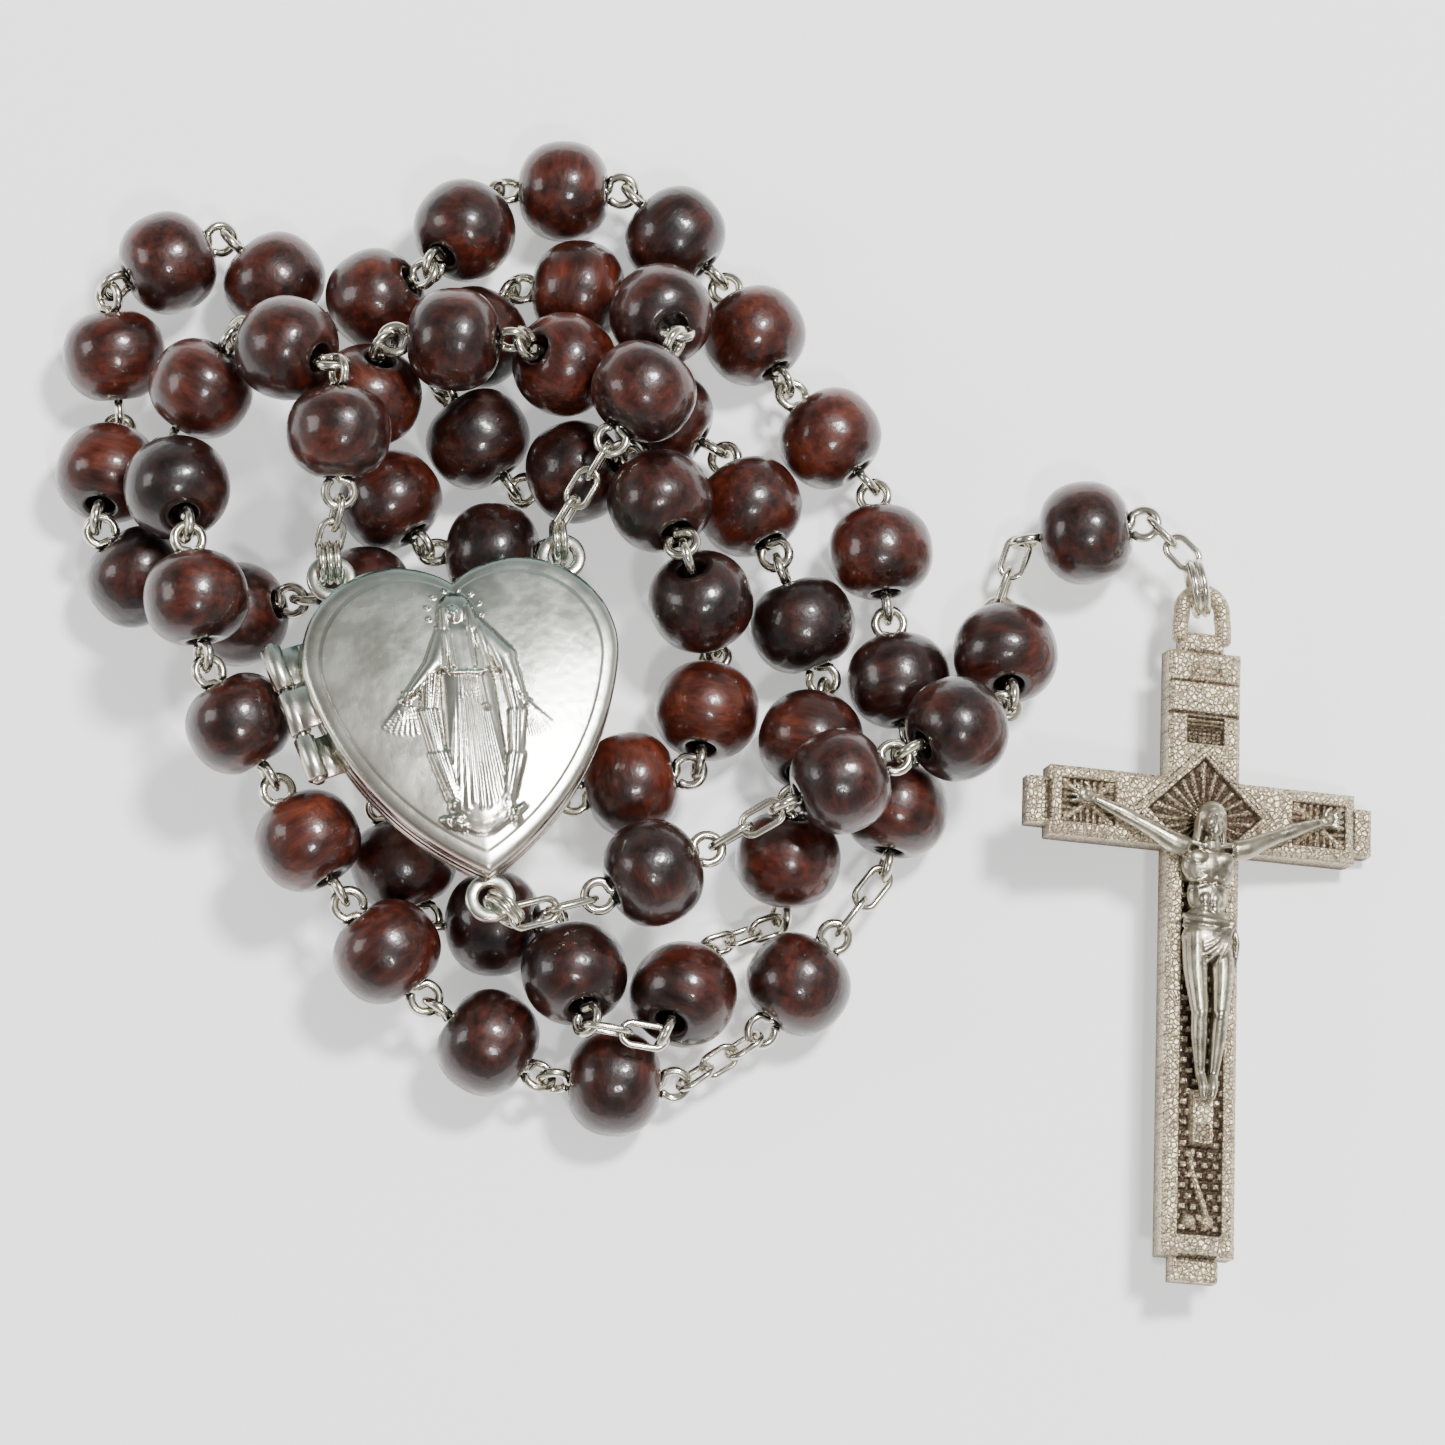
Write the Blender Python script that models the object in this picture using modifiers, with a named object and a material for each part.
"""A five-decade rosary lying in a loose pile: wooden beads on wire eye pins, a heart locket as its centre
piece and a metal crucifix. Metres, +Z up, the table at z = 0 and the origin under the middle of the pile."""

import math

import bmesh
import bpy
import numpy as np
from mathutils import Matrix, Quaternion, Vector

MM = 0.001

# Beads and wire
BEAD_RADIUS = 4.0 * MM
BEAD_HALF_LENGTH = 3.4 * MM
BORE_RADIUS = 1.15 * MM
BEAD_SIDES = 8
WIRE_RADIUS = 0.33 * MM
EYE_RADIUS = 1.1 * MM
RING_SIDES = 6
WIRE_SIDES = 3
RING_PHASE = 0.29
HALF_PIN = 5.1 * MM
LINK_PITCH = 2.3 * MM
GAP = 0.3 * MM

# Heights of the bead layers of the pile: on the table, on those, and on top
LAYER_Z = {1: 4.2 * MM, 2: 10.5 * MM, 3: 15.0 * MM}

# Locket: a heart of two lobe circles and two side arcs
HEART_LOBE_RADIUS = 7.2 * MM
HEART_LOBE_X = 4.6 * MM
HEART_LOBE_Y = 5.1 * MM
HEART_TIP_Y = -12.3 * MM
HEART_SIDE_RADIUS = 24.0 * MM
HEART_POINTS_PER_LOBE = 9
HEART_POINTS_PER_SIDE = 5
SEAM_HALF_GAP = 0.15 * MM
SHELL_WALL = 0.5 * MM
LOCKET_HALF_THICKNESS = 2.75 * MM
TAB_RADIUS = 1.35 * MM
TAB_WIRE = 0.42 * MM
TAB_ANGLE = math.radians(62)
TAB_REACH = 1.45 * MM
BOTTOM_TAB_Y = -13.5 * MM
TAB_Z = -0.75 * MM
TAB_EYE_REACH = 1.25 * MM
TAB_KNEE = 3.6 * MM
TAIL_LEAVES = Vector((0.7, -0.71, 0))
LOCKET_CENTRE = Vector((-18.8, -3.4, 12.6)) * MM
LOCKET_TURN = math.radians(7.7)
LOCKET_TILT = math.radians(8)

# Locket hinge, on the tangent of the left side
HINGE_POINT = Vector((-10.9, 2.4, 0)) * MM
HINGE_DIRECTION = Vector((0.225, -0.974, 0))
HINGE_OFFSET = 1.8 * MM
KNUCKLE_LENGTH = 3.4 * MM
KNUCKLE_RADIUS = 1.05 * MM
KNUCKLE_BORE = 0.7 * MM
HINGE_PIN_RADIUS = 0.36 * MM
LEAF_REACH = 3.6 * MM
LEAF_HEIGHTS = (0.4 * MM, 0.95 * MM)

# Crucifix, origin where its arms cross, face towards +Z
CROSS_THICKNESS = 2.4 * MM
CROSS_TOP = 12.6 * MM
CROSS_NECK = 14.2 * MM
CROSS_FOOT = -33.4 * MM
CROSS_FOOT_TAB = -35.2 * MM
CROSS_ARM = 12.1 * MM
CROSS_ARM_TAB = 13.7 * MM
UPRIGHT_HALF_WIDTH = 2.85 * MM
ARM_HALF_HEIGHT = 2.65 * MM
TAB_HALF_WIDTH = 1.8 * MM
NECK_HALF_WIDTH = 1.7 * MM
CROSS_BEVEL = 0.3 * MM
EYELET_Y = 15.9 * MM
EYELET_RADIUS = 1.7 * MM
EYELET_WIRE = 0.55 * MM
CROSS_CENTRE = Vector((35.7, -8.7, 5.2)) * MM
CROSS_ROLL = math.radians(16)
CROSS_TURN = math.radians(-2)
JUMP_RING_SPAN = (-0.3 * MM, 3.3 * MM, 0.8 * MM)

# The strands as they are laid: x, y in millimetres, layer, and FIXED for a bead that is buried in the pile
# and is made in one piece with its wire. A number on its own is the length of a run of cable links.
FIXED = True
STRANDS = {
    "decade_1": [3.0, (-32, 19, 3), (-31, 28, 2), (-35.5, 24, 1, FIXED), (-35, 14.5, 2), (-40, 8, 2),
                 (-36, -0.5, 1), (-30.5, -10.5, 2), (-23.5, -17, 1), (-17, -27, 1), (-9, -31, 1)],
    "decade_2": [6.5, (4, -23, 1), 5.5, (13.5, -7, 1), (13, 4, 1), (11, 13.5, 1), (7, 22.5, 1), (1.5, 28, 1),
                 (-4, 36, 1), (-12.5, 38.5, 1), (-20, 35, 1), (-25.5, 30, 1), (-33.5, 33.5, 1)],
    "decade_3": [(-40.5, 34.5, 1), (-45.5, 28.5, 1), (-44, 19.5, 1), (-42.5, 9.5, 1, FIXED),
                 (-33.5, 8.5, 1, FIXED), (-25.5, 5, 1, FIXED), (-17, 1.5, 1, FIXED), (-20.5, -5, 1, FIXED),
                 (-28.5, -7.5, 1, FIXED), (-21.5, -12, 1, FIXED), (-13.5, -14.5, 1, FIXED)],
    "decade_4": [5.5, (-5.5, -22.5, 1), 6.5, (5.5, -11.5, 1), (6.5, -1, 1, FIXED), (5.5, 7.5, 1),
                 (2.5, 16.5, 1), (-3, 20.5, 1), (-10.5, 24.5, 1), (-18, 25, 2), (-26, 22.5, 1), (-25, 14, 1),
                 (-15.5, 16.5, 2)],
    "decade_5": [6.5, (-9.5, -7, 1, FIXED), 3.5, (-2.5, -5.5, 1), (-0.5, 2.5, 1), (-5.5, 9.5, 1),
                 (-8.5, 16, 1, FIXED), (-15, 13, 1, FIXED), (-20.5, 18, 1, FIXED), (-21.5, 23.5, 1, FIXED),
                 (-15, 30, 1), (-8, 30.5, 1), (-4, 26.5, 2), 6.5],
    "tail": [5.5, (-4, -14, 1), 5.5, (9, -6, 2), (18.5, -1.5, 1), (20.5, 5, 1), 5.0, (26, 13.5, 1), 5.0],
}
OUR_FATHER_FIRST = ("decade_2", "decade_3", "decade_4", "decade_5")
TAIL_NAMES = ("tail_our_father_bead_1", "tail_hail_mary_bead_1", "tail_hail_mary_bead_2",
              "tail_hail_mary_bead_3", "tail_our_father_bead_2")

# Settling: how strongly the beads are drawn to their places and pushed off each other in each step
RELAX_STEPS = 2500
FINAL_START = 0.7
LENGTH_PASSES = 3
PULL = (0.12, 0.12, 0.08)
FINAL_PULL = 0.02
BURIED_PULL = 0.05
BEAD_PUSH = 0.5
EYE_PUSH = 0.3
RUN_PUSH = 0.3
HEART_PUSH = 0.5
EYE_SLACK = 0.2 * MM
RUN_SLACK = 0.35 * MM
RUN_SAG = 0.8


def clear_scene():
    for item in list(bpy.data.objects):
        bpy.data.objects.remove(item, do_unlink=True)


def new_collection(name):
    collection = bpy.data.collections.new(name)
    bpy.context.scene.collection.children.link(collection)
    return collection


def new_material(name, colour, roughness, metallic):
    material = bpy.data.materials.new(name)
    material.use_nodes = True
    shader = material.node_tree.nodes["Principled BSDF"]
    shader.inputs["Base Color"].default_value = (*colour, 1)
    shader.inputs["Roughness"].default_value = roughness
    shader.inputs["Metallic"].default_value = metallic
    material.diffuse_color = (*colour, 1)
    return material


def add_object(name, mesh, collection, material, matrix=None):
    item = bpy.data.objects.new(name, mesh)
    collection.objects.link(item)
    if material and not mesh.materials:
        mesh.materials.append(material)
    if matrix is not None:
        item.matrix_world = matrix
    return item


def bmesh_to_mesh(bm, name):
    bmesh.ops.recalc_face_normals(bm, faces=bm.faces)
    mesh = bpy.data.meshes.new(name)
    bm.to_mesh(mesh)
    bm.free()
    return mesh


def along(direction):
    """Rotation that turns local +Z to a direction."""
    return Vector(direction).to_track_quat("Z", "Y").to_matrix().to_4x4()


# ---------------------------------------------------------------- heart outline

def side_arc_centre():
    """Centre of the big arc that is tangent to the right lobe from inside and ends at the tip."""
    lobe = Vector((HEART_LOBE_X, HEART_LOBE_Y))
    tip = Vector((0, HEART_TIP_Y))
    reach = HEART_SIDE_RADIUS - HEART_LOBE_RADIUS
    span = (tip - lobe).length
    t = (reach ** 2 - HEART_SIDE_RADIUS ** 2 + span ** 2) / (2 * span)
    h = math.sqrt(reach ** 2 - t ** 2)
    u = (tip - lobe) / span
    sides = [lobe + u * t + Vector((u.y, -u.x)) * side for side in (h, -h)]
    return min(sides, key=lambda centre: centre.x)


def heart_outline():
    """Closed outline, counter-clockwise from the tip: side arc, right lobe, notch, and their mirror."""
    lobe = Vector((HEART_LOBE_X, HEART_LOBE_Y))
    centre = side_arc_centre()
    join = lobe + (lobe - centre).normalized() * HEART_LOBE_RADIUS
    tip_angle = math.atan2(HEART_TIP_Y - centre.y, -centre.x)
    join_angle = math.atan2(join.y - centre.y, join.x - centre.x)
    right = []
    for k in range(HEART_POINTS_PER_SIDE):
        a = tip_angle + (join_angle - tip_angle) * k / HEART_POINTS_PER_SIDE
        right.append((centre.x + HEART_SIDE_RADIUS * math.cos(a), centre.y + HEART_SIDE_RADIUS * math.sin(a)))
    start = math.atan2(join.y - lobe.y, join.x - lobe.x)
    end = math.pi - math.acos(HEART_LOBE_X / HEART_LOBE_RADIUS)
    for k in range(HEART_POINTS_PER_LOBE + 1):
        a = start + (end - start) * k / HEART_POINTS_PER_LOBE
        right.append((lobe.x + HEART_LOBE_RADIUS * math.cos(a), lobe.y + HEART_LOBE_RADIUS * math.sin(a)))
    right[0] = (0, HEART_TIP_Y)
    right[-1] = (0, right[-1][1])
    left = [(-x, y) for x, y in reversed(right[1:-1])]
    return right + left


def locket_matrix():
    lean = Quaternion(Vector((-1, 1, 0)).normalized(), LOCKET_TILT).to_matrix().to_4x4()
    turn = Matrix.Rotation(LOCKET_TURN, 4, "Z")
    return Matrix.Translation(LOCKET_CENTRE) @ lean @ turn


def tab_places():
    """Ring tabs of the locket in its own frame: top left, top right and bottom."""
    reach = HEART_LOBE_RADIUS + TAB_REACH
    x = HEART_LOBE_X + reach * math.cos(TAB_ANGLE)
    y = HEART_LOBE_Y + reach * math.sin(TAB_ANGLE)
    return Vector((-x, y, TAB_Z)), Vector((x, y, TAB_Z)), Vector((0, BOTTOM_TAB_Y, TAB_Z))


def tab_directions():
    """How the strands leave the two upper tabs, and how the tail leaves the bottom one."""
    turn = locket_matrix().to_3x3()
    return turn @ Vector((0, 1, 0)), turn @ TAIL_LEAVES.normalized()


def cross_matrix():
    roll = Matrix.Rotation(CROSS_ROLL, 4, "Y")
    turn = Matrix.Rotation(CROSS_TURN, 4, "Z")
    return Matrix.Translation(CROSS_CENTRE) @ turn @ roll


# ---------------------------------------------------------------- lay of the strands

def heart_distance(points, outline):
    """Signed distance and outward direction from an outline, in its plane; negative inside."""
    a = outline
    b = np.roll(outline, -1, axis=0)
    edge = b - a
    rel = points[:, None, :] - a[None]
    t = np.clip((rel * edge).sum(2) / (edge * edge).sum(1), 0, 1)
    near = a[None] + edge[None] * t[..., None]
    away = points[:, None, :] - near
    dist = np.sqrt((away ** 2).sum(2))
    pick = dist.argmin(1)
    rows = np.arange(len(points))
    best = dist[rows, pick]
    crosses = (a[None, :, 1] > points[:, None, 1]) != (b[None, :, 1] > points[:, None, 1])
    rise = np.where(edge[:, 1] == 0, 1e-12, edge[:, 1])
    at = a[None, :, 0] + (points[:, None, 1] - a[None, :, 1]) / rise * edge[None, :, 0]
    inside = (crosses & (points[:, None, 0] < at)).sum(1) % 2 == 1
    direction = away[rows, pick] / np.maximum(best, 1e-9)[:, None]
    sign = np.where(inside, -1.0, 1.0)
    return best * sign, direction * sign[:, None]


class Lay:
    """The strands as a chain of straight pins and link runs, settled so that nothing overlaps."""

    def __init__(self):
        self.points = []
        self.fixed = []
        self.pins = []
        self.runs = []

    def add_point(self, place, fixed=False):
        self.points.append(np.array(place, dtype=float))
        self.fixed.append(fixed)
        return len(self.points) - 1

    def add_strand(self, name, steps, last):
        """Continues from the newest point. `last` is the fixed end of the whole route, or None."""
        for index, step in enumerate(steps):
            here = len(self.points) - 1
            following = next((s for s in steps[index + 1:] if isinstance(s, tuple)), None)
            if isinstance(step, tuple):
                x, y, layer = step[:3]
                middle = np.array((x * MM, y * MM, LAYER_Z[layer]))
                goal = middle
                if following:
                    goal = np.array((following[0] * MM, following[1] * MM, LAYER_Z[following[2]]))
                elif last is not None:
                    goal = np.array(last)
                ahead = goal - middle + (middle - self.points[here])
                ahead = ahead / np.linalg.norm(ahead)
                tip = self.add_point(middle + ahead * HALF_PIN)
                self.pins.append(dict(strand=name, a=here, b=tip, target=middle, buried=len(step) > 3))
            else:
                target = following
                if target is None:
                    end = self.add_point(last, fixed=True)
                else:
                    goal = np.array((target[0] * MM, target[1] * MM, LAYER_Z[target[2]]))
                    ahead = goal - self.points[here]
                    ahead = ahead / max(np.linalg.norm(ahead), 1e-6)
                    end = self.add_point(goal - ahead * HALF_PIN)
                self.runs.append(dict(strand=name, a=here, b=end, length=step * MM))

    def settle(self, outline, locket, half_thickness):
        x = np.array(self.points)
        free = np.array([0.0 if f else 1.0 for f in self.fixed])[:, None]
        pa = np.array([p["a"] for p in self.pins])
        pb = np.array([p["b"] for p in self.pins])
        goal = np.array([p["target"] for p in self.pins])
        ra = np.array([r["a"] for r in self.runs])
        rb = np.array([r["b"] for r in self.runs])
        length = np.array([r["length"] for r in self.runs])
        n_pins, n_points = len(pa), len(x)
        own = np.zeros((n_pins, n_points), bool)
        own[np.arange(n_pins), pa] = True
        own[np.arange(n_pins), pb] = True
        tied = np.eye(n_points, dtype=bool)
        for a, b in list(zip(pa, pb)) + list(zip(ra, rb)):
            tied[a, b] = tied[b, a] = True
        inverse = np.array(locket.inverted())
        turn = np.array(locket.to_3x3())
        reach = EYE_RADIUS + WIRE_RADIUS
        bead_clear = 2 * BEAD_RADIUS + GAP
        eye_clear = BEAD_RADIUS + reach + EYE_SLACK
        run_clear = BEAD_RADIUS + reach + RUN_SLACK
        eyes_apart = 2 * reach + 2 * GAP
        pull_share = np.array([BURIED_PULL if p["buried"] else 1.0 for p in self.pins])[:, None]

        def push_pins(move):
            """Moves both ends of each pin with its middle."""
            np.add.at(x, pa, move * free[pa])
            np.add.at(x, pb, move * free[pb])

        def pull_lengths(first, second, want, slack):
            delta = x[second] - x[first]
            dist = np.linalg.norm(delta, axis=1)
            low = want * (RUN_SAG if slack else 1.0)
            off = np.where(dist > want, dist - want, np.where(dist < low, dist - low, 0.0))
            weight = free[first] + free[second]
            step = delta / np.maximum(dist, 1e-9)[:, None] * off[:, None] / np.maximum(weight, 1)
            np.add.at(x, first, step * free[first])
            np.add.at(x, second, -step * free[second])

        for step in range(RELAX_STEPS):
            final = step > RELAX_STEPS * FINAL_START
            middle = (x[pa] + x[pb]) / 2
            pull = (goal - middle) * pull_share * np.array(PULL) * (FINAL_PULL if final else 1.0)
            push_pins(pull)

            middle = (x[pa] + x[pb]) / 2
            delta = middle[:, None] - middle[None]
            dist = np.linalg.norm(delta, axis=2) + np.eye(n_pins)
            over = np.clip(bead_clear - dist, 0, None)
            push_pins((delta / dist[..., None] * over[..., None] * BEAD_PUSH).sum(1))

            middle = (x[pa] + x[pb]) / 2
            delta = middle[:, None] - x[None]
            dist = np.linalg.norm(delta, axis=2)
            over = np.where(own, 0.0, np.clip(eye_clear - dist, 0, None))
            push = delta / np.maximum(dist, 1e-9)[..., None] * over[..., None] * EYE_PUSH
            push_pins(push.sum(1))
            x -= push.sum(0) * free

            for part in (0.25, 0.5, 0.75):
                centre = x[ra] * (1 - part) + x[rb] * part
                middle = (x[pa] + x[pb]) / 2
                delta = middle[:, None] - centre[None]
                dist = np.linalg.norm(delta, axis=2)
                over = np.clip(run_clear - dist, 0, None)
                push = delta / np.maximum(dist, 1e-9)[..., None] * over[..., None] * RUN_PUSH
                push_pins(push.sum(1))
                np.subtract.at(x, ra, push.sum(0) * free[ra])
                np.subtract.at(x, rb, push.sum(0) * free[rb])

            delta = x[:, None] - x[None]
            dist = np.linalg.norm(delta, axis=2) + np.eye(n_points)
            over = np.where(tied, 0.0, np.clip(eyes_apart - dist, 0, None))
            x += (delta / dist[..., None] * over[..., None] * EYE_PUSH).sum(1) * free

            for places, radius, shift in (((x[pa] + x[pb]) / 2, BEAD_RADIUS, push_pins), (x, reach, None)):
                flat = places @ inverse[:3, :3].T + inverse[:3, 3]
                side, outward = heart_distance(flat[:, :2], outline)
                above = np.abs(flat[:, 2]) - half_thickness
                need = radius + 1.5 * GAP
                corner = np.hypot(np.clip(side, 0, None), np.clip(above, 0, None))
                gap = np.where((side <= 0) & (above <= 0), above, corner)
                over = np.clip(need - gap, 0, None)
                rise = np.sign(flat[:, 2])
                weight_z = np.where(side <= 0, 1.0, np.clip(above, 0, None) / np.maximum(corner, 1e-9))
                weight_xy = np.where(side <= 0, 0.0, np.clip(side, 0, None) / np.maximum(corner, 1e-9))
                push = np.column_stack((outward * weight_xy[:, None], rise * weight_z)) * over[:, None] * HEART_PUSH
                push = push @ turn.T
                if shift:
                    shift(push)
                else:
                    x += push * free

            for _ in range(LENGTH_PASSES):
                pull_lengths(ra, rb, length, slack=True)
                pull_lengths(pa, pb, np.full(n_pins, 2 * HALF_PIN), slack=False)
            middle = (x[pa] + x[pb]) / 2
            lift = np.clip(LAYER_Z[1] - middle[:, 2], 0, None)
            push_pins(np.column_stack((lift * 0, lift * 0, lift)))
            x[:, 2] = np.where(free[:, 0] > 0, np.maximum(x[:, 2], reach + GAP), x[:, 2])
        self.points = np.round(x, 6)
        return self


def lay_strands():
    lay = Lay()
    outline = np.array(heart_outline())
    locket = locket_matrix()
    upward, downward = tab_directions()
    left, right, bottom = (locket @ p for p in tab_places())
    lay.add_point(left + upward * TAB_KNEE, fixed=True)
    for k in range(1, 6):
        lay.add_strand(f"decade_{k}", STRANDS[f"decade_{k}"], right + upward * TAB_KNEE)
    lay.add_point(bottom + downward * TAB_KNEE, fixed=True)
    eyelet = np.array(cross_matrix() @ Vector((0, EYELET_Y, 0)))
    ring_end = eyelet + np.array(JUMP_RING_SPAN)
    lay.add_strand("tail", STRANDS["tail"], ring_end)
    return lay.settle(outline, locket, LOCKET_HALF_THICKNESS)


# ---------------------------------------------------------------- beads

def bead_profile():
    """Half section of a drilled bead as (radius, along): mouth, shoulder, belly and their mirror."""
    upper = [(BORE_RADIUS, BEAD_HALF_LENGTH), (0.69 * BEAD_RADIUS, 0.82 * BEAD_HALF_LENGTH),
             (BEAD_RADIUS, 0.33 * BEAD_HALF_LENGTH)]
    return upper + [(r, -z) for r, z in reversed(upper)]


def lathe(profile, sides, closed):
    """Turned solid round Z: a ring per profile point. `closed` joins the ends through a bore."""
    bm = bmesh.new()
    rings = []
    for radius, z in profile:
        ring = []
        for k in range(sides):
            a = 2 * math.pi * k / sides
            ring.append(bm.verts.new((radius * math.cos(a), radius * math.sin(a), z)))
        rings.append(ring)
    if closed:
        rings.append(rings[0])
    else:
        bm.faces.new(rings[0])
        bm.faces.new(rings[-1])
    for first, second in zip(rings, rings[1:]):
        for k in range(sides):
            after = (k + 1) % sides
            bm.faces.new((first[k], first[after], second[after], second[k]))
    return bm


def make_bead_mesh():
    return bmesh_to_mesh(lathe(bead_profile(), BEAD_SIDES, closed=True), "bead")


def make_bead(name, mesh, pin, points, collection, material):
    a, b = Vector(points[pin["a"]]), Vector(points[pin["b"]])
    matrix = Matrix.Translation((a + b) / 2) @ along(b - a)
    return add_object(name, mesh, collection, material, matrix)


# ---------------------------------------------------------------- wire

def add_torus(bm, centre, axis, major, minor, major_sides, minor_sides):
    """A ring in the plane whose normal is `axis`."""
    matrix = Matrix.Translation(centre) @ along(axis)
    rings = []
    for k in range(major_sides):
        a = 2 * math.pi * (k + RING_PHASE) / major_sides
        ring = []
        for m in range(minor_sides):
            b = 2 * math.pi * (m + RING_PHASE) / minor_sides
            r = major + minor * math.cos(b)
            ring.append(bm.verts.new(matrix @ Vector((r * math.cos(a), r * math.sin(a), minor * math.sin(b)))))
        rings.append(ring)
    for k in range(major_sides):
        first, second = rings[k], rings[(k + 1) % major_sides]
        for m in range(minor_sides):
            after = (m + 1) % minor_sides
            bm.faces.new((first[m], second[m], second[after], first[after]))


def tube_mesh(path, radius, name):
    """A straight-segmented wire: a bevelled poly curve with filled caps, as a welded mesh."""
    curve = bpy.data.curves.new(name, "CURVE")
    curve.dimensions = "3D"
    curve.bevel_depth = radius
    curve.bevel_resolution = 1
    curve.use_fill_caps = True
    spline = curve.splines.new("POLY")
    spline.points.add(len(path) - 1)
    for point, place in zip(spline.points, path):
        point.co = (*place, 1)
    item = bpy.data.objects.new(name, curve)
    bpy.context.scene.collection.objects.link(item)
    graph = bpy.context.evaluated_depsgraph_get()
    mesh = bpy.data.meshes.new_from_object(item.evaluated_get(graph))
    bpy.data.objects.remove(item, do_unlink=True)
    bpy.data.curves.remove(curve)
    bm = bmesh.new()
    bm.from_mesh(mesh)
    bmesh.ops.remove_doubles(bm, verts=bm.verts, dist=1e-6)
    bpy.data.meshes.remove(mesh)
    return bmesh_to_mesh(bm, name)


def unite(item, others, cutters):
    """Joins closed shapes to an object with one exact union each."""
    for index, mesh in enumerate(others):
        helper = add_object(f"{item.name}.union.{index}", mesh, cutters, None)
        helper.hide_render = True
        helper.display_type = "WIRE"
        modifier = item.modifiers.new(f"union_{index}", "BOOLEAN")
        modifier.operation = "UNION"
        modifier.solver = "EXACT"
        modifier.object = helper


def cross_axes(direction):
    """Two unit vectors across a direction, the first one level."""
    forward = Vector(direction).normalized()
    level = Vector((0, 0, 1)).cross(forward).normalized()
    return level, forward.cross(level).normalized()


class Wire:
    """One wire piece: a tube through its places, with eyes and link rings united to it."""

    def __init__(self, name):
        self.name = name
        self.path = []
        self.rings = []
        self.lumps = []

    def add_eye(self, centre, normal, goal):
        """An eye in the plane across `normal`. Returns where the wire leaves it for `goal`."""
        self.rings.append((centre, normal))
        flat = (goal - centre) - normal * (goal - centre).dot(normal)
        return centre + flat.normalized() * EYE_RADIUS

    def linked_eye(self, lay, joint, side):
        """The eye at an open joint between two wire pieces: level before the joint, upright after it."""
        place = Vector(lay.points[joint])
        into = (place - Vector(lay.points[joint - 1])).normalized()
        out = (Vector(lay.points[joint + 1]) - place).normalized() if joint + 1 < len(lay.points) else into
        through = (into + out).normalized()
        level, rise = cross_axes(through)
        goal = Vector(lay.points[joint + side])
        own = (through * side + (goal - place).normalized()).normalized()
        return self.add_eye(place + own * EYE_RADIUS / 2, level if side > 0 else rise, goal)

    def tab_eye(self, knee, away):
        """An eye square through a flat tab of the locket, which the strand leaves along `away` as far as
        its knee. Returns where the wire leaves the eye."""
        normal = locket_matrix().to_3x3() @ Vector((0, 0, 1))
        centre = knee + away * (TAB_EYE_REACH - TAB_KNEE)
        self.rings.append((centre, normal.cross(away)))
        return centre + away * EYE_RADIUS

    def build(self, collection, cutters, material, buried_mesh_maker):
        item = add_object(self.name, tube_mesh(self.path, WIRE_RADIUS, self.name), collection, material)
        shapes = []
        for centre, axis in self.rings:
            bm = bmesh.new()
            add_torus(bm, centre, axis, EYE_RADIUS, WIRE_RADIUS, RING_SIDES, WIRE_SIDES)
            shapes.append(bmesh_to_mesh(bm, f"{self.name}.ring"))
        for matrix in self.lumps:
            shapes.append(buried_mesh_maker(matrix))
        unite(item, shapes, cutters)
        return item


def buried_bead_mesh(matrix):
    bm = lathe(bead_profile(), BEAD_SIDES, closed=False)
    bm.transform(matrix)
    return bmesh_to_mesh(bm, "buried_bead")


def strand_steps(lay, strand):
    """Pins and link runs of one strand, in order."""
    steps = [dict(kind="pin", **p) for p in lay.pins if p["strand"] == strand]
    steps += [dict(kind="run", **r) for r in lay.runs if r["strand"] == strand]
    return sorted(steps, key=lambda s: s["a"])


def make_wire(name, steps, lay, from_tab=None, to_tab=None):
    """Wire through consecutive steps. It ends in an eye at both ends, clear of the neighbour's eye. An end
    that hooks into a locket tab gets the direction in which it leaves the tab.
    Inside the piece the two eyes of a joint are one ring round the joint."""
    wire = Wire(name)
    count = 0
    for index, step in enumerate(steps):
        a, b = Vector(lay.points[step["a"]]), Vector(lay.points[step["b"]])
        direction = (b - a).normalized()
        length = (b - a).length
        first, last = index == 0, index == len(steps) - 1
        if not first:
            wire.path.append(a)
            wire.rings.append((a, cross_axes(direction)[index % 2]))
        elif from_tab:
            wire.path.extend((wire.tab_eye(a, from_tab), a))
        else:
            wire.path.append(wire.linked_eye(lay, step["a"], 1))
        if last and to_tab:
            wire.path.extend((b, wire.tab_eye(b, to_tab)))
        elif last:
            wire.path.append(wire.linked_eye(lay, step["b"], -1))
        if step["kind"] == "pin":
            if step["buried"]:
                wire.lumps.append(Matrix.Translation((a + b) / 2) @ along(b - a))
            continue
        links = max(0, round(length / LINK_PITCH) - 1)
        for k in range(links):
            count += 1
            centre = a + direction * (length * (k + 1) / (links + 1))
            clear_start = (centre - a).length > 2.4 * EYE_RADIUS or not first
            clear_end = (b - centre).length > 2.4 * EYE_RADIUS or not last
            if clear_start and clear_end:
                wire.rings.append((centre, cross_axes(direction)[count % 2]))
    return wire


# ---------------------------------------------------------------- locket

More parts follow.
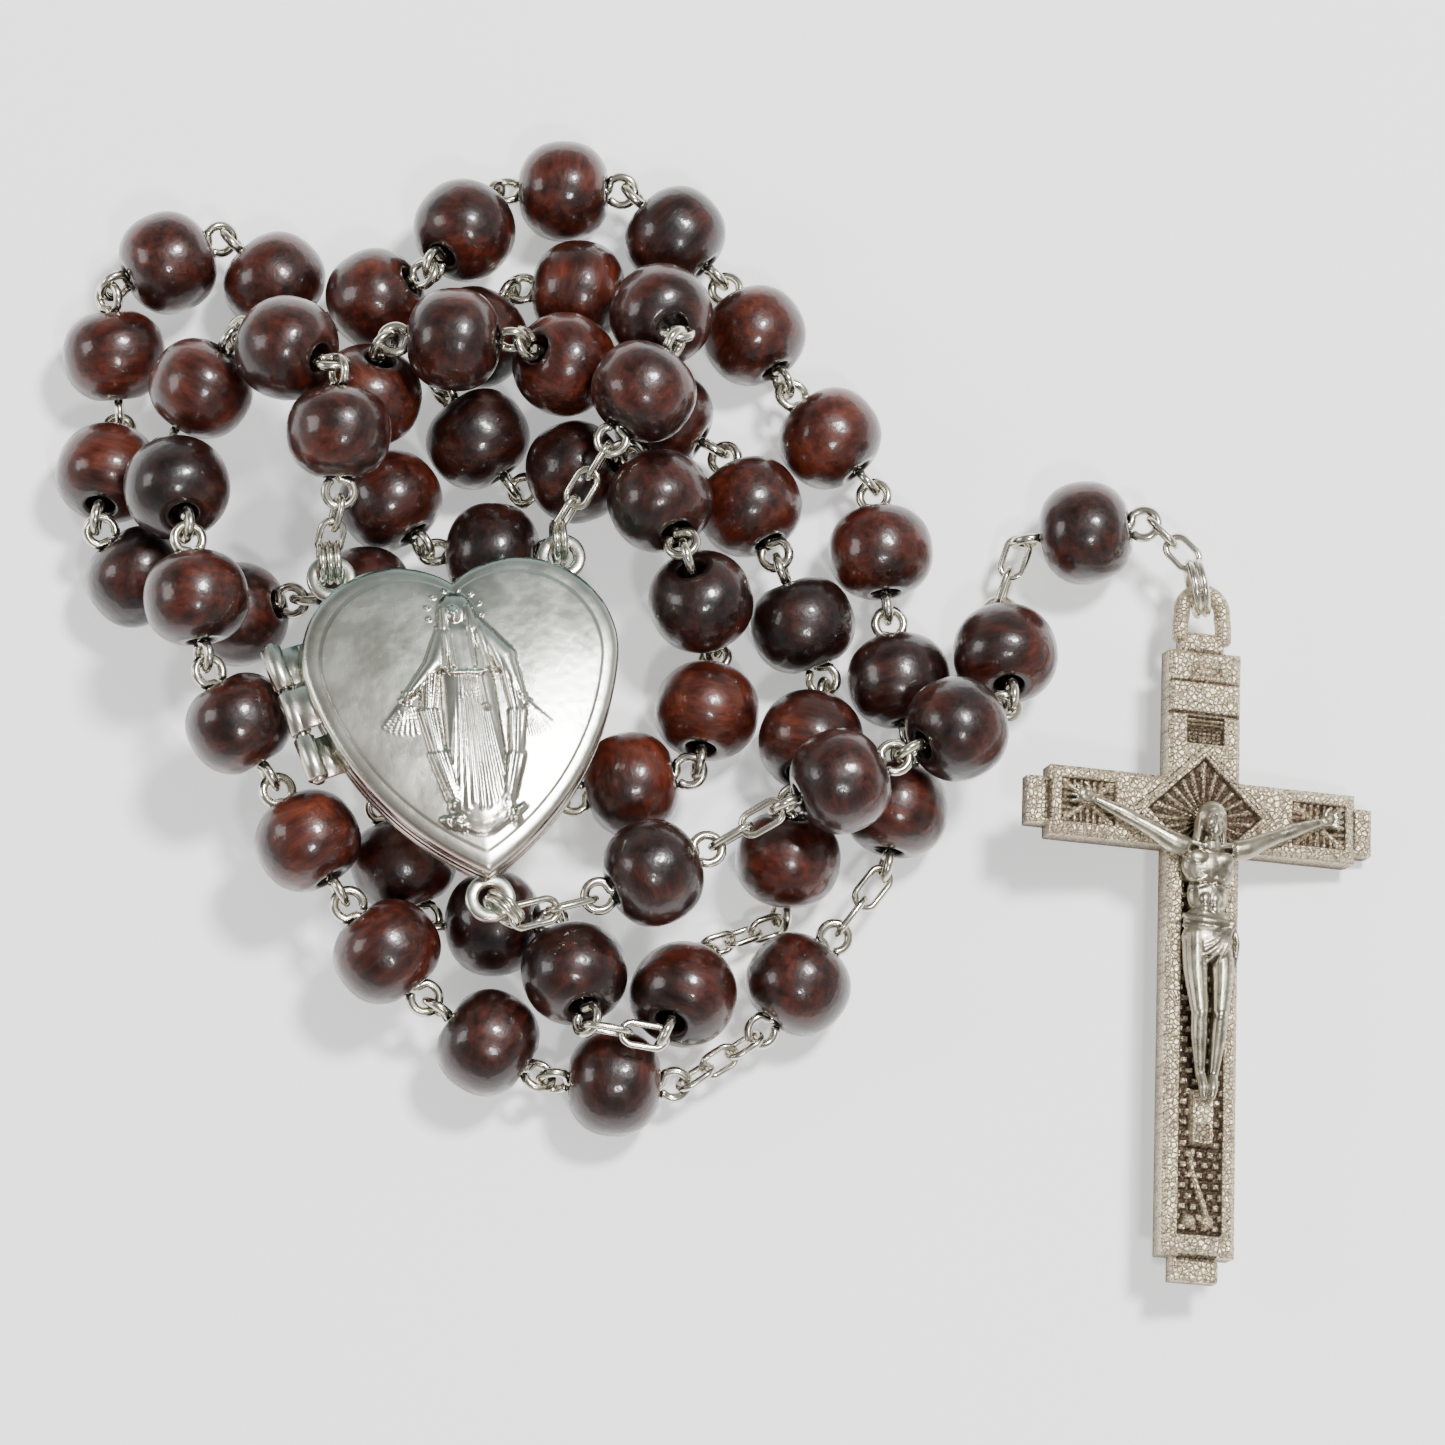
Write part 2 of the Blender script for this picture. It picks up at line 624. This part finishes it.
def heart_shell(name, sign):
    """An open domed heart surface, from the seam to the crown, given its thickness by Solidify."""
    outline = heart_outline()
    centre = Vector((0, 1.0 * MM))
    levels = ((1.0, 0.0), (1.0, 1.3), (0.955, 1.7), (0.87, 1.85), (0.6, 2.3))
    bm = bmesh.new()
    rings = []
    for scale, height in levels:
        z = sign * (SEAM_HALF_GAP + height * MM)
        rings.append([bm.verts.new((centre.x + (x - centre.x) * scale, centre.y + (y - centre.y) * scale, z))
                      for x, y in outline])
    count = len(outline)
    for first, second in zip(rings, rings[1:]):
        for k in range(count):
            after = (k + 1) % count
            bm.faces.new((first[k], first[after], second[after], second[k]))
    crown = bm.verts.new((centre.x, centre.y, sign * (SEAM_HALF_GAP + 2.45 * MM)))
    for k in range(count):
        bm.faces.new((rings[-1][k], rings[-1][(k + 1) % count], crown))
    for face in bm.faces:
        face.normal_update()
    if sign < 0:
        bmesh.ops.reverse_faces(bm, faces=bm.faces)
    mesh = bpy.data.meshes.new(name)
    bm.to_mesh(mesh)
    bm.free()
    return mesh


def knuckle_and_leaf(index, sign):
    """A bored knuckle with the leaf that joins it to its shell."""
    axis = HINGE_DIRECTION.normalized()
    inward = Vector((0, 0, 1)).cross(axis)
    if inward.x < 0:
        inward = -inward
    middle = HINGE_POINT - inward * HINGE_OFFSET + axis * (index - 1) * (KNUCKLE_LENGTH + GAP)
    half = KNUCKLE_LENGTH / 2
    barrel = lathe([(KNUCKLE_RADIUS, half), (KNUCKLE_RADIUS, -half), (KNUCKLE_BORE, -half),
                    (KNUCKLE_BORE, half)], 12, closed=True)
    barrel.transform(Matrix.Translation(middle) @ along(axis))
    leaf = bmesh.new()
    bmesh.ops.create_cube(leaf, size=1)
    low, high = LEAF_HEIGHTS
    start = 0.75 * MM
    size = Matrix.Diagonal((LEAF_REACH - start, KNUCKLE_LENGTH - GAP, high - low, 1))
    basis = Matrix((inward, axis, inward.cross(axis))).transposed().to_4x4()
    place = middle + inward * (LEAF_REACH + start) / 2 + Vector((0, 0, sign * (low + high) / 2))
    leaf.transform(Matrix.Translation(place) @ basis @ size)
    return bmesh_to_mesh(barrel, "knuckle"), bmesh_to_mesh(leaf, "leaf")


def hinge_line():
    """Middle and direction of the locket hinge in the locket's frame."""
    axis = HINGE_DIRECTION.normalized()
    inward = Vector((0, 0, 1)).cross(axis)
    if inward.x < 0:
        inward = -inward
    return HINGE_POINT - inward * HINGE_OFFSET, axis


def make_locket(collection, cutters, materials):
    matrix = locket_matrix()
    for name, sign, knuckles in (("locket_back_shell", -1, (0, 2)), ("locket_front_shell", 1, (1,))):
        item = add_object(name, heart_shell(name, sign), collection, materials["silver"])
        wall = item.modifiers.new("wall", "SOLIDIFY")
        wall.thickness = SHELL_WALL
        wall.offset = -1
        shapes = []
        for index in knuckles:
            shapes.extend(knuckle_and_leaf(index, sign))
        if sign < 0:
            for place in tab_places():
                bm = bmesh.new()
                add_torus(bm, place, Vector((0, 0, 1)), TAB_RADIUS, TAB_WIRE, 12, 6)
                shapes.append(bmesh_to_mesh(bm, "tab"))
        unite(item, shapes, cutters)
        for modifier in item.modifiers:
            if modifier.type == "BOOLEAN":
                modifier.object.matrix_world = matrix
        item.matrix_world = matrix
    middle, axis = hinge_line()
    reach = 1.5 * KNUCKLE_LENGTH + GAP
    pin = lathe([(HINGE_PIN_RADIUS, reach), (HINGE_PIN_RADIUS, -reach)], 10, closed=False)
    add_object("locket_hinge_pin", bmesh_to_mesh(pin, "locket_hinge_pin"), collection, materials["silver"],
               matrix @ Matrix.Translation(middle) @ along(axis))


# ---------------------------------------------------------------- crucifix

def cross_outline():
    """Right half of the outline from the neck round to the foot tab."""
    return [(0, CROSS_NECK), (NECK_HALF_WIDTH, CROSS_NECK), (NECK_HALF_WIDTH, CROSS_TOP),
            (UPRIGHT_HALF_WIDTH, CROSS_TOP), (UPRIGHT_HALF_WIDTH, ARM_HALF_HEIGHT),
            (CROSS_ARM, ARM_HALF_HEIGHT), (CROSS_ARM, TAB_HALF_WIDTH), (CROSS_ARM_TAB, TAB_HALF_WIDTH),
            (CROSS_ARM_TAB, -TAB_HALF_WIDTH), (CROSS_ARM, -TAB_HALF_WIDTH), (CROSS_ARM, -ARM_HALF_HEIGHT),
            (UPRIGHT_HALF_WIDTH, -ARM_HALF_HEIGHT), (UPRIGHT_HALF_WIDTH, CROSS_FOOT),
            (TAB_HALF_WIDTH, CROSS_FOOT), (TAB_HALF_WIDTH, CROSS_FOOT_TAB), (0, CROSS_FOOT_TAB)]


def make_cross(collection, cutters, materials):
    right = cross_outline()
    outline = right + [(-x, y) for x, y in reversed(right[1:-1])]
    bm = bmesh.new()
    face = bm.faces.new([bm.verts.new((x, y, -CROSS_THICKNESS / 2)) for x, y in outline])
    top = bmesh.ops.extrude_face_region(bm, geom=[face])["geom"]
    bmesh.ops.translate(bm, vec=(0, 0, CROSS_THICKNESS),
                        verts=[v for v in top if isinstance(v, bmesh.types.BMVert)])
    front = [e for e in bm.edges if all(v.co.z > 0 for v in e.verts)]
    bmesh.ops.bevel(bm, geom=front, offset=CROSS_BEVEL, segments=1, affect="EDGES")
    item = add_object("crucifix_cross", bmesh_to_mesh(bm, "crucifix_cross"), collection, materials["pewter"])
    ring = bmesh.new()
    add_torus(ring, Vector((0, EYELET_Y, 0)), Vector((0, 0, 1)), EYELET_RADIUS, EYELET_WIRE, 12, 6)
    unite(item, [bmesh_to_mesh(ring, "eyelet")], cutters)
    item.modifiers[0].object.matrix_world = cross_matrix()
    item.matrix_world = cross_matrix()


def limb(path, radii, sides=6):
    """A tapered round limb through its places."""
    bm = bmesh.new()
    rings = []
    for index, (place, radius) in enumerate(zip(path, radii)):
        before, after = path[max(index - 1, 0)], path[min(index + 1, len(path) - 1)]
        matrix = Matrix.Translation(place) @ along(Vector(after) - Vector(before))
        rings.append([bm.verts.new(matrix @ Vector((radius * math.cos(2 * math.pi * k / sides),
                                                    radius * math.sin(2 * math.pi * k / sides), 0)))
                      for k in range(sides)])
    for first, second in zip(rings, rings[1:]):
        for k in range(sides):
            after = (k + 1) % sides
            bm.faces.new((first[k], first[after], second[after], second[k]))
    bm.faces.new(rings[0])
    bm.faces.new(rings[-1])
    return bmesh_to_mesh(bm, "limb")


def make_corpus(collection, cutters, materials):
    """The figure on the cross, in plain round forms, just clear of the cross's face."""
    base = CROSS_THICKNESS / 2 + 0.35 * MM

    def at(x, y, z):
        return Vector((x * MM, y * MM, base + z * MM))

    torso = limb([at(0, -1.5, 1.6), at(0, -4.2, 1.5), at(0, -7.0, 1.25), at(0, -9.6, 1.35), at(0, -11.9, 1.3)],
                 [0.6 * MM, 1.35 * MM, 1.1 * MM, 1.25 * MM, 1.15 * MM], 8)
    item = add_object("crucifix_corpus", torso, collection, materials["pewter_dark"])
    shapes = []
    for side in (-1, 1):
        shapes.append(limb([at(side * 0.5, -3.2, 1.4), at(side * 4.6, -1.7, 1.1), at(side * 9.8, 0.3, 0.75)],
                           [0.75 * MM, 0.62 * MM, 0.5 * MM]))
        shapes.append(limb([at(side * 0.55, -10.8, 1.25), at(side * 0.75, -15.7, 1.6), at(side * 0.35, -21.7, 0.9)],
                           [0.85 * MM, 0.7 * MM, 0.5 * MM]))
    head = bmesh.new()
    bmesh.ops.create_icosphere(head, subdivisions=2, radius=1.35 * MM)
    head.transform(Matrix.Translation(at(0, -0.8, 1.9)))
    shapes.append(bmesh_to_mesh(head, "head"))
    unite(item, shapes, cutters)
    for modifier in item.modifiers:
        modifier.object.matrix_world = cross_matrix()
    item.matrix_world = cross_matrix()


def make_jump_ring(lay, collection, materials):
    """The ring between the last wire of the tail and the crucifix's eyelet."""
    eyelet = cross_matrix() @ Vector((0, EYELET_Y, 0))
    before, end = Vector(lay.points[-2]), Vector(lay.points[-1])
    end += (before - end).normalized() * EYE_RADIUS / 2
    level, _ = cross_axes(end - eyelet)
    bm = bmesh.new()
    add_torus(bm, (end + eyelet) / 2, level, (end - eyelet).length / 2, WIRE_RADIUS, 12, 6)
    add_object("crucifix_jump_ring", bmesh_to_mesh(bm, "crucifix_jump_ring"), collection, materials["silver"])


# ---------------------------------------------------------------- whole

def bead_names(lay):
    """Names of the pins' beads, in the order of the pins."""
    names = []
    counts = {}
    tail = iter(TAIL_NAMES)
    for pin in lay.pins:
        strand = pin["strand"]
        if strand == "tail":
            names.append(next(tail))
            continue
        index = counts.get(strand, 0)
        counts[strand] = index + 1
        if strand in OUR_FATHER_FIRST:
            names.append(f"our_father_bead_{strand[-1]}" if index == 0 else f"{strand}_bead_{index}")
        else:
            names.append(f"{strand}_bead_{index + 1}")
    return names


def make_wires(lay, collection, cutters, materials):
    upward, downward = tab_directions()
    for k in range(1, 6):
        name = f"decade_{k}"
        wire = make_wire(f"{name}_wire", strand_steps(lay, name), lay,
                         from_tab=upward if k == 1 else None, to_tab=upward if k == 5 else None)
        wire.build(collection, cutters, materials["silver"], buried_bead_mesh)
    steps = strand_steps(lay, "tail")
    groups, current = [], []
    for step in steps:
        current.append(step)
        if step["kind"] == "pin":
            groups.append(current)
            current = []
    groups[-1] += current
    for index, group in enumerate(groups):
        wire = make_wire(f"tail_wire_{index + 1}", group, lay, from_tab=downward if index == 0 else None)
        wire.build(collection, cutters, materials["silver"], buried_bead_mesh)


def shift_to_origin(objects):
    """How far the finished pile has to move for the middle of its box to be over the origin, at rest on z = 0."""
    graph = bpy.context.evaluated_depsgraph_get()
    low, high = np.full(3, np.inf), np.full(3, -np.inf)
    for item in objects:
        shape = item.evaluated_get(graph)
        places = np.array([shape.matrix_world @ v.co for v in shape.data.vertices])
        low, high = np.minimum(low, places.min(0)), np.maximum(high, places.max(0))
    return Vector(np.round((-(low[0] + high[0]) / 2, -(low[1] + high[1]) / 2, -low[2]), 6))


def main():
    clear_scene()
    rosary = new_collection("rosary")
    cutters = new_collection("rosary_cutters")
    materials = {
        "wood": new_material("stained_wood", (0.10, 0.022, 0.012), 0.3, 0),
        "silver": new_material("silver_plate", (0.72, 0.72, 0.68), 0.28, 1),
        "pewter": new_material("antique_pewter", (0.52, 0.51, 0.47), 0.45, 1),
        "pewter_dark": new_material("antique_pewter_dark", (0.34, 0.33, 0.30), 0.4, 1),
    }
    lay = lay_strands()
    make_wires(lay, rosary, cutters, materials)
    bead = make_bead_mesh()
    for name, pin in zip(bead_names(lay), lay.pins):
        if not pin["buried"]:
            make_bead(name, bead, pin, lay.points, rosary, materials["wood"])
    make_locket(rosary, cutters, materials)
    make_cross(rosary, cutters, materials)
    make_corpus(rosary, cutters, materials)
    make_jump_ring(lay, rosary, materials)
    shift = Matrix.Translation(shift_to_origin(rosary.objects))
    for item in list(rosary.objects) + list(cutters.objects):
        item.matrix_world = shift @ item.matrix_world


main()
